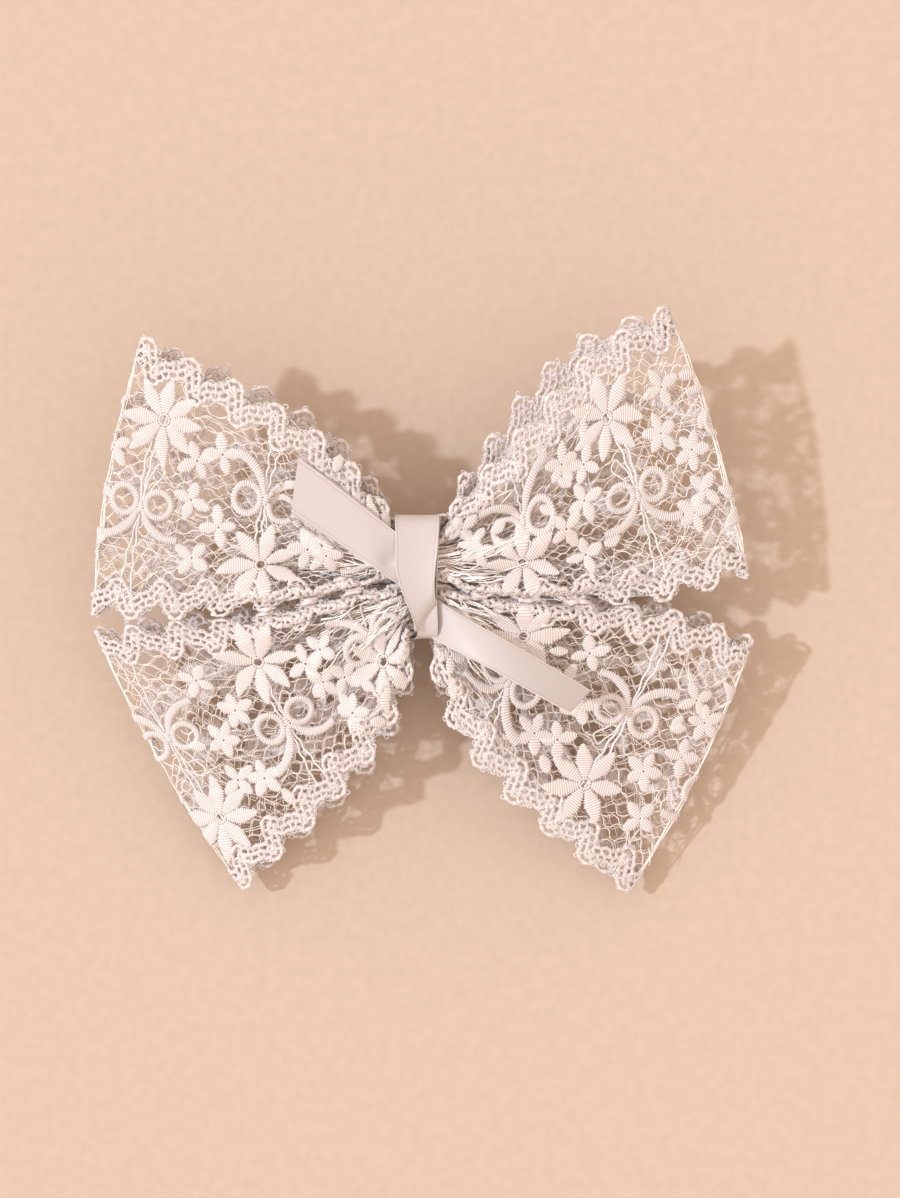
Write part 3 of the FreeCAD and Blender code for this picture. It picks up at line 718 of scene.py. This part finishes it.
def draw_net(rng):
    """The net: neighbouring threads meet and part by turns, and loose threads cross it."""
    out = Threads()
    reach = 2 * WING_LENGTH
    count = 190
    u = np.linspace(0, reach, count)
    low, high = BORDER_INSET, BAND_WIDTH - BORDER_INSET
    threads = int((high - low) / NET_SPACING)
    drift = slow_noise(rng, 0.8, count, 8)
    phase = 2 * math.pi * u / 4.6 + slow_noise(rng, 1.0, count, 10)
    for k in range(threads + 1):
        sign = 1 if k % 2 else -1
        phase = phase + slow_noise(rng, 0.22, count, 12)
        drift = 0.75 * drift + slow_noise(rng, 0.34, count, 7)
        meet = np.tanh(1.7 * np.sin(phase + 0.25 * k)) / math.tanh(1.7)
        v = low + NET_SPACING * k + sign * 0.48 * NET_SPACING * meet + drift
        for strand in (0, 1):
            apart = slow_noise(rng, 0.10, count, 4) + 0.12 * strand
            along = u + slow_noise(rng, 0.3, count, 4)
            height = slow_noise(rng, 0.12, count, 3)
            line = np.stack([along, np.clip(v + apart, 1.5, BAND_WIDTH - 1.5), height], 1)
            radius = NET_RADIUS * (1.0 if strand else 0.75)
            out.add(line, radius, radius, 4 if strand else 3)
    loose_threads(out, rng, reach)
    gather_threads(out, rng, reach)
    fold_threads(out, rng)
    return out


def loose_threads(out, rng, reach):
    """Threads that cross the net aslant, most of them in small bundles."""
    for _ in range(LOOSE_BUNDLES):
        start = rng.uniform((2, 3), (reach - 2, BAND_WIDTH - 3))
        angle = rng.choice((-0.75, 0.0, 0.75)) + rng.normal(0, 0.3)
        long = rng.uniform(9, 30)
        for _ in range(1 + int(rng.integers(0, 4))):
            n = 22
            turn = angle + np.cumsum(slow_noise(rng, 0.06, n, 3))
            step = long / n
            way = np.stack([np.cumsum(np.cos(turn)), np.cumsum(np.sin(turn))], 1) * step
            line = start + rng.normal(0, 0.45, 2) + way
            inside = (line[:, 1] > 1.5) & (line[:, 1] < BAND_WIDTH - 1.5)
            line = line[inside & (line[:, 0] > 0) & (line[:, 0] < reach)]
            if len(line) < 6:
                continue
            lift = 0.15 + slow_noise(rng, 0.28, len(line), 3)
            out.add(np.hstack([line, lift[:, None]]), 0.085, 0.085, 3)


def gather_threads(out, rng, reach):
    """Bundles of thread that run out from the knot along the pleats of both layers."""
    for k in range(GATHER_THREADS):
        far = rng.uniform(9, 28)
        u = np.linspace(0.5, far, 20)
        v = rng.uniform(EDGE_KEPT, BAND_WIDTH - EDGE_KEPT) + slow_noise(rng, 0.9, 20, 6)
        lift = 0.35 + slow_noise(rng, 0.25, 20, 4)
        u = reach - u if k % 3 == 0 else u
        out.add(np.stack([u, v, lift], 1), 0.15, 0.13, 5)


def fold_threads(out, rng):
    """Threads pulled tight along the fold, from one border to the other."""
    for k in range(FOLD_THREADS):
        v = np.linspace(BORDER_INSET - 1, BAND_WIDTH - BORDER_INSET + 1, 40)
        u = WING_LENGTH + (k - FOLD_THREADS // 2) * 0.35 + slow_noise(rng, 0.22, 40, 4)
        lift = 0.1 + slow_noise(rng, 0.1, 40, 3)
        out.add(np.stack([u, v, lift], 1), 0.12, 0.12, 4)


# ---------------------------------------------------------------- ribbon, thread and glue


def across_profile():
    """Places across a ribbon, from -1 to 1, closer together at its woven edges, and how far
    its faces stand off its middle there."""
    inner = np.linspace(-0.86, 0.86, 19)
    edge = np.array([0.9, 0.93, 0.96, 0.985, 1.0])
    where = np.concatenate([-edge[::-1], inner, edge])
    bead = np.array([0.55, 1.5, 1.6, 1.3, 0.5])
    thick = np.concatenate([bead[::-1], np.ones(len(inner)), bead])
    return where, thick * RIBBON_THICK / 2


def strip(name, left, right, crown, closed=False, dent=None):
    """A ribbon between two edge lines, arched by crown(share along) in millimetres."""
    rows = len(left)
    where, thick = across_profile()
    share = (where[None, :, None] + 1) / 2
    middle = left[:, None] * (1 - share) + right[:, None] * share
    along = np.gradient(middle, axis=0)
    if closed:
        along = np.roll(middle, -1, 0) - np.roll(middle, 1, 0)
    normal = np.cross(along, np.gradient(middle, axis=1))
    normal /= np.linalg.norm(normal, axis=2)[..., None]
    arch = crown(np.linspace(0, 1, rows))[:, None] * (1 - where[None] ** 2)
    middle = middle - normal * arch[..., None]
    if dent is not None:
        spot, radius, depth = dent
        near = np.linalg.norm(middle - np.array(spot), axis=2) / radius
        middle[..., 2] -= depth * np.exp(-(near**2))
    columns = len(where)
    top = middle - normal * thick[None, :, None]
    bottom = middle + normal * thick[None, :, None]
    ring = np.concatenate([top, bottom[:, ::-1]], 1)
    sides = 2 * columns
    faces = []
    for i in range(rows if closed else rows - 1):
        j = (i + 1) % rows
        for k in range(sides):
            after = (k + 1) % sides
            faces.append([i * sides + k, i * sides + after, j * sides + after, j * sides + k])
    if not closed:
        for i, turn in ((0, -1), (rows - 1, 1)):
            for k in range(columns - 1):
                cap = [i * sides + k, i * sides + k + 1, (i + 1) * sides - k - 2, (i + 1) * sides - k - 1]
                faces.append(cap[::turn])
    obj = make_mesh(name, ring.reshape(-1, 3), faces)
    gone = np.r_[0, np.cumsum(np.linalg.norm(np.diff(middle[:, columns // 2], axis=0), axis=1))]
    put_uv(obj, gone, np.concatenate([where, where[::-1]]), sides)
    return obj


def put_uv(obj, gone, where, sides):
    """UVs in millimetres: along the ribbon, and across it from its middle."""
    layer = obj.data.uv_layers.new(name="ribbon")
    index = np.empty(len(obj.data.loops), int)
    obj.data.loops.foreach_get("vertex_index", index)
    pairs = np.stack([gone[index // sides], where[index % sides] * RIBBON_WIDTH / 2], 1)
    layer.data.foreach_set("uv", pairs.ravel())


def from_knot(points):
    """Points given from the knot in x and y, in the frame."""
    return np.asarray(points, float) + [KNOT[0], KNOT[1], 0]


def even_pair(left, right, count):
    """Two edge lines as smooth lines of count points."""
    return spline(from_knot(left), count), spline(from_knot(right), count)


def ribbon_turn():
    """The closed first turn, narrower below the front where it is pulled tight."""
    loop = np.array(TURN_LOOP + TURN_LOOP[:1])
    left = from_knot(np.stack([loop[:, 2], loop[:, 0], loop[:, 1]], 1))
    right = from_knot(np.stack([loop[:, 3], loop[:, 0], loop[:, 1]], 1))
    lines = [closed_spline(edge[:-1], 180) for edge in (left, right)]
    return strip("ribbon_turn", *lines, lambda w: 0.25 + 0 * w, closed=True)


def closed_spline(points, count):
    """A smooth closed line through points."""
    line = curve(np.vstack([points[-1:], points, points[:3]]))
    steps = np.linspace(0, len(line), count, endpoint=False)
    looped = np.vstack([line, line[:1]])
    return np.stack([np.interp(steps, np.arange(len(looped)), looped[:, k]) for k in range(3)], 1)


def ribbon_front():
    """The front of the knot: over the top shoulder, down, and folded under to one side."""
    left, right = even_pair(FRONT_LEFT, FRONT_RIGHT, 90)
    return strip("ribbon_front", left, right, lambda w: 0.15 + 0.9 * w**2 * (1 - w**3))


def ribbon_tails():
    left = strip(
        "satin_tail_left",
        *even_pair(LEFT_TAIL_UPPER, LEFT_TAIL_LOWER, 90),
        lambda w: -0.35 + 0.6 * np.exp(-(((w - 0.25) / 0.12) ** 2)),
        dent=(from_knot((-6.3, 3.4, 27.6)), 2.3, 0.8),
    )
    right = strip(
        "satin_tail_right",
        *even_pair(RIGHT_TAIL_UPPER, RIGHT_TAIL_LOWER, 90),
        lambda w: 0.35 - 0.5 * w,
    )
    return left, right


def gathering_thread(name, node):
    """Five turns of thread pulled round a waist."""
    low, high = (np.array(corner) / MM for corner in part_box(node))
    out = Threads()
    half_y, half_z = (high[1:] - low[1:]) / 2 - 0.22
    middle = (high + low) / 2
    a = np.linspace(0, 2 * math.pi, 64, endpoint=False)
    rounded = (np.abs(np.cos(a)) ** 4 + np.abs(np.sin(a)) ** 4) ** 0.25
    for k in range(5):
        loop = np.stack(
            [
                middle[1] + half_y * np.cos(a) / rounded * 0.99,
                middle[2] + half_z * np.sin(a) / rounded * 0.99,
                middle[0] + (k - 2) * 0.34 + 0.05 * np.sin(3 * a + k),
            ],
            1,
        )
        out.add(loop, 0.17, 0.17, 6, closed=True)
    flat = out.flat()
    obj = out.mesh(name, np.stack([flat[:, 2], flat[:, 0], flat[:, 1]], 1))
    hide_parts(node)
    return obj


def glue_blob():
    """A pressed blob of set glue with a soft uneven rim."""
    low, high = (np.array(corner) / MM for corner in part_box("glue_pad"))
    half, middle = (high - low) / 2, (high + low) / 2
    sides = 48
    levels = np.linspace(-1, 1, 9)
    a = np.linspace(0, 2 * math.pi, sides, endpoint=False)
    rim = 1 + 0.05 * np.sin(3 * a + 1) + 0.03 * np.sin(7 * a)
    squared = (np.abs(np.cos(a)) ** 3 + np.abs(np.sin(a)) ** 3) ** (-1 / 3)
    points = []
    for level in levels:
        swell = 0.82 + 0.14 * math.sqrt(max(0.0, 1 - level**2))
        points.append(
            np.stack(
                [
                    middle[0] + half[0] * swell * rim * squared * np.cos(a),
                    middle[1] + half[1] * swell * rim * squared * np.sin(a),
                    np.full_like(a, middle[2] + half[2] * level * 0.98),
                ],
                1,
            )
        )
    faces = []
    for i in range(len(levels) - 1):
        row, above = i * sides, (i + 1) * sides
        for k in range(sides):
            after = (k + 1) % sides
            faces.append([row + k, row + after, above + after, above + k])
    faces.append(list(range(sides))[::-1])
    faces.append([(len(levels) - 1) * sides + k for k in range(sides)])
    obj = make_mesh("glue_blob", np.concatenate(points), faces)
    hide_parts("glue_pad")
    return obj


# ---------------------------------------------------------------- materials


def new_material(name, roughness, sheen=0.0, sheen_roughness=0.4):
    mat = bpy.data.materials.new(name)
    mat.use_nodes = True
    shader = mat.node_tree.nodes["Principled BSDF"]
    shader.inputs["Roughness"].default_value = roughness
    shader.inputs["Sheen Weight"].default_value = sheen
    shader.inputs["Sheen Roughness"].default_value = sheen_roughness
    return mat, mat.node_tree.nodes, mat.node_tree.links, shader


def mottled(nodes, links, shader, dark, light, scale):
    """Colour that wanders between two shades."""
    noise = nodes.new("ShaderNodeTexNoise")
    noise.inputs["Scale"].default_value = scale
    noise.inputs["Detail"].default_value = 3.0
    place = nodes.new("ShaderNodeTexCoord")
    links.new(place.outputs["Object"], noise.inputs["Vector"])
    ramp = nodes.new("ShaderNodeValToRGB")
    ramp.color_ramp.elements[0].position = 0.35
    ramp.color_ramp.elements[1].position = 0.65
    ramp.color_ramp.elements[0].color = (*dark, 1)
    ramp.color_ramp.elements[1].color = (*light, 1)
    links.new(noise.outputs["Fac"], ramp.inputs["Fac"])
    links.new(ramp.outputs["Color"], shader.inputs["Base Color"])
    return place


def fibre_bump(nodes, links, shader, place, scale, strength, distance):
    """The small unevenness of spun fibres."""
    noise = nodes.new("ShaderNodeTexNoise")
    noise.inputs["Scale"].default_value = scale
    noise.inputs["Detail"].default_value = 2.0
    bump = nodes.new("ShaderNodeBump")
    bump.inputs["Strength"].default_value = strength
    bump.inputs["Distance"].default_value = distance
    links.new(place.outputs["Object"], noise.inputs["Vector"])
    links.new(noise.outputs["Fac"], bump.inputs["Height"])
    links.new(bump.outputs["Normal"], shader.inputs["Normal"])


def thread_material(name, dark, light):
    """Thread, a little mottled, with shade painted into its colour in the grooves between its stitches
    and between a braid's knots.
    """
    mat, nodes, links, shader = new_material(name, 0.55, 0.3)
    place = mottled(nodes, links, shader, dark, light, 90.0)
    fibre_bump(nodes, links, shader, place, 4200.0, 0.35, 0.0001)
    # Painted shade: a point attribute mixes the groove colour in, fully in a groove and not at all on a
    # stitch.
    tone = nodes.new("ShaderNodeAttribute")
    tone.attribute_name = "tone"
    mix = nodes.new("ShaderNodeMix")
    mix.data_type = "RGBA"
    mix.inputs["A"].default_value = (*PAINTED_GROOVE_SHADE, 1)
    links.new(tone.outputs["Fac"], mix.inputs["Factor"])
    links.new(shader.inputs["Base Color"].links[0].from_socket, mix.inputs["B"])
    links.new(mix.outputs["Result"], shader.inputs["Base Color"])
    return mat


def satin_material():
    """Woven satin: a fine diagonal weave, and a darker line inside each edge."""
    mat, nodes, links, shader = new_material("satin", 0.46, 0.3, 0.3)
    uv = nodes.new("ShaderNodeUVMap")
    uv.uv_map = "ribbon"
    satin_colour(nodes, links, shader, uv)
    satin_weave(nodes, links, shader, uv)
    return mat


def satin_colour(nodes, links, shader, uv):
    """Colour by the place across the ribbon, a little cloudy."""
    split = nodes.new("ShaderNodeSeparateXYZ")
    links.new(uv.outputs["UV"], split.inputs["Vector"])
    off_middle = nodes.new("ShaderNodeMath")
    off_middle.operation = "ABSOLUTE"
    links.new(split.outputs["Y"], off_middle.inputs[0])
    scaled = nodes.new("ShaderNodeMath")
    scaled.operation = "MULTIPLY"
    scaled.inputs[1].default_value = 2 / RIBBON_WIDTH
    links.new(off_middle.outputs[0], scaled.inputs[0])
    band = nodes.new("ShaderNodeValToRGB")
    links.new(scaled.outputs[0], band.inputs["Fac"])
    ramp = band.color_ramp
    ramp.elements[0].position = 0.0
    ramp.elements[0].color = (*SATIN_DARK, 1)
    ramp.elements[1].position = 1.0
    ramp.elements[1].color = (*SATIN_LIGHT, 1)
    for place, colour in ((0.84, SATIN_DARK), (0.875, SELVEDGE), (0.91, SATIN_LIGHT)):
        stop = ramp.elements.new(place)
        stop.color = (*colour, 1)
    cloudy = nodes.new("ShaderNodeTexNoise")
    cloudy.inputs["Scale"].default_value = 2.4
    cloudy.inputs["Detail"].default_value = 4.0
    links.new(uv.outputs["UV"], cloudy.inputs["Vector"])
    tint = nodes.new("ShaderNodeMix")
    tint.data_type = "RGBA"
    tint.blend_type = "MULTIPLY"
    tint.inputs["Factor"].default_value = 0.16
    links.new(band.outputs["Color"], tint.inputs["A"])
    links.new(cloudy.outputs["Fac"], tint.inputs["B"])
    links.new(tint.outputs["Result"], shader.inputs["Base Color"])


def satin_weave(nodes, links, shader, uv):
    """The weave, as a very fine bump."""
    weave = nodes.new("ShaderNodeTexWave")
    weave.bands_direction = "DIAGONAL"
    weave.inputs["Scale"].default_value = 2.6
    weave.inputs["Distortion"].default_value = 1.2
    weave.inputs["Detail Scale"].default_value = 3.0
    links.new(uv.outputs["UV"], weave.inputs["Vector"])
    bump = nodes.new("ShaderNodeBump")
    bump.inputs["Strength"].default_value = 0.15
    bump.inputs["Distance"].default_value = 0.00004
    links.new(weave.outputs["Fac"], bump.inputs["Height"])
    links.new(bump.outputs["Normal"], shader.inputs["Normal"])


def glue_material():
    mat, nodes, links, shader = new_material("set_glue", 0.35)
    place = mottled(nodes, links, shader, (0.72, 0.62, 0.45), (0.82, 0.74, 0.58), 300.0)
    fibre_bump(nodes, links, shader, place, 900.0, 0.2, 0.0001)
    return mat


def steel_material():
    mat, nodes, links, shader = new_material("nickel_steel", 0.28)
    shader.inputs["Metallic"].default_value = 1.0
    place = mottled(nodes, links, shader, (0.52, 0.51, 0.49), (0.66, 0.65, 0.63), 220.0)
    fibre_bump(nodes, links, shader, place, 2500.0, 0.15, 0.00005)
    return mat


def floor_material():
    mat, nodes, links, shader = new_material("pale_paper", 0.9)
    place = mottled(nodes, links, shader, FLOOR_DARK, FLOOR_LIGHT, 400.0)
    fibre_bump(nodes, links, shader, place, 1500.0, 0.15, 0.0002)
    return mat


# ---------------------------------------------------------------- pieces


def build_wing(name, spec, materials, seed):
    wing = Wing(spec)
    net = draw_net(np.random.default_rng(seed))
    borders = draw_borders(np.random.default_rng(seed + 100))
    motifs = draw_motifs(wing, spec, np.random.default_rng(seed + 200))
    for kind, threads, material in (
        ("net", net, materials["net"]),
        ("border", borders, materials["lace"]),
        ("flowers", motifs, materials["lace"]),
    ):
        points = wing.place(threads.flat(), calm=kind == "flowers")
        for tail in ((LEFT_TAIL_UPPER, LEFT_TAIL_LOWER), (RIGHT_TAIL_UPPER, RIGHT_TAIL_LOWER)):
            press_under(points, *tail)
        obj = threads.mesh(f"lace_{kind}_{name}", points)
        obj.data.materials.append(material)
        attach(obj, "bow")
    band, side = name.split("_")
    nodes = [f"{band}_lace_{side}_loop"]
    if side == "left":
        nodes.append(f"{band}_lace_waist")
    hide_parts(*nodes)


def press_under(points, upper, lower):
    """Presses lace down, softly, where it would come through a ribbon tail."""
    up, low = even_pair(upper, lower, 60)
    axis = (up[-1] + low[-1] - up[0] - low[0])[:2]
    axis /= np.linalg.norm(axis)
    side = np.array([-axis[1], axis[0]])
    along, across = points[:, :2] @ axis, points[:, :2] @ side
    edges = []
    for line in (up, low):
        known = line[:, :2] @ axis
        edges.append([np.interp(along, known, line[:, :2] @ side), np.interp(along, known, line[:, 2])])
    (near, near_z), (far, far_z) = edges
    share = (across - near) / (far - near)
    start = min(up[0, :2] @ axis, low[0, :2] @ axis)
    stop = max(up[-1, :2] @ axis, low[-1, :2] @ axis)
    inside = (share > -0.12) & (share < 1.12) & (along > start) & (along < stop)
    limit = near_z + np.clip(share, 0, 1) * (far_z - near_z) - 1.5
    over = points[:, 2] - limit
    inside &= over > 0
    points[inside, 2] = limit[inside] + 0.7 * (1 - np.exp(-over[inside] / 0.7))


def finish_piece(obj, material):
    obj.data.materials.append(material)
    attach(obj, "bow")


def build_ribbon(materials):
    turn, front = ribbon_turn(), ribbon_front()
    left, right = ribbon_tails()
    for obj, length, held in (
        (turn, TURN_LENGTH, "gathered"),
        (front, FRONT_LENGTH, "folded"),
        (left, LEFT_TAIL_LENGTH, "hung"),
        (right, RIGHT_TAIL_LENGTH, "hung"),
    ):
        finish_piece(obj, materials["satin"])
    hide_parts("ribbon_wrap")
    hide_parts("ribbon_tail_left")
    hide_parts("ribbon_tail_right")


def build_hidden(materials):
    """The pieces under the ribbon, which are guessed."""
    for band in ("upper", "lower"):
        coil = gathering_thread(f"thread_{band}", f"{band}_gathering_thread")
        finish_piece(coil, materials["lace"])
    finish_piece(glue_blob(), materials["glue"])


def stage():
    bpy.ops.mesh.primitive_plane_add(size=6, location=(0, 0, 0))
    floor = bpy.context.object
    floor.name = "floor"
    floor.data.materials.append(floor_material())


def light():
    bpy.context.scene.view_settings.view_transform = "Standard"
    world = bpy.data.worlds.new("studio")
    bpy.context.scene.world = world
    world.use_nodes = True
    background = world.node_tree.nodes["Background"]
    background.inputs["Color"].default_value = (*WORLD_TINT, 1)
    background.inputs["Strength"].default_value = WORLD_STRENGTH
    sun = bpy.data.lights.new("key", "SUN")
    sun.energy = SUN_ENERGY
    sun.angle = math.radians(2.5)
    sun.color = SUN_TINT
    key = bpy.data.objects.new("key", sun)
    key.rotation_euler = (math.radians(-6), math.radians(-46), 0)
    bpy.context.collection.objects.link(key)


def camera():
    lens = bpy.data.cameras.new("camera")
    lens.sensor_width = SENSOR
    lens.lens = SENSOR * CAMERA_DISTANCE / FRAME_HEIGHT
    eye = bpy.data.objects.new("camera", lens)
    x, y, z = KNOT[0] + 6.9, KNOT[1] - 4.5, KNOT_HIGH[2]
    eye.location = (x * MM, y * MM, z * MM + CAMERA_DISTANCE)
    bpy.context.collection.objects.link(eye)
    bpy.context.scene.camera = eye


def main():
    materials = {
        "lace": thread_material("lace_thread", LACE_DARK, LACE_LIGHT),
        "net": thread_material("net_thread", NET_DARK, NET_LIGHT),
        "satin": satin_material(),
        "steel": steel_material(),
        "glue": glue_material(),
    }
    for index, (name, spec) in enumerate(WINGS.items()):
        build_wing(name, spec, materials, SEED + index)
    build_ribbon(materials)
    build_hidden(materials)
    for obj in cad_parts.values():
        obj.data.materials.clear()
        obj.data.materials.append(materials["steel"])
    stage()
    light()
    camera()


main()
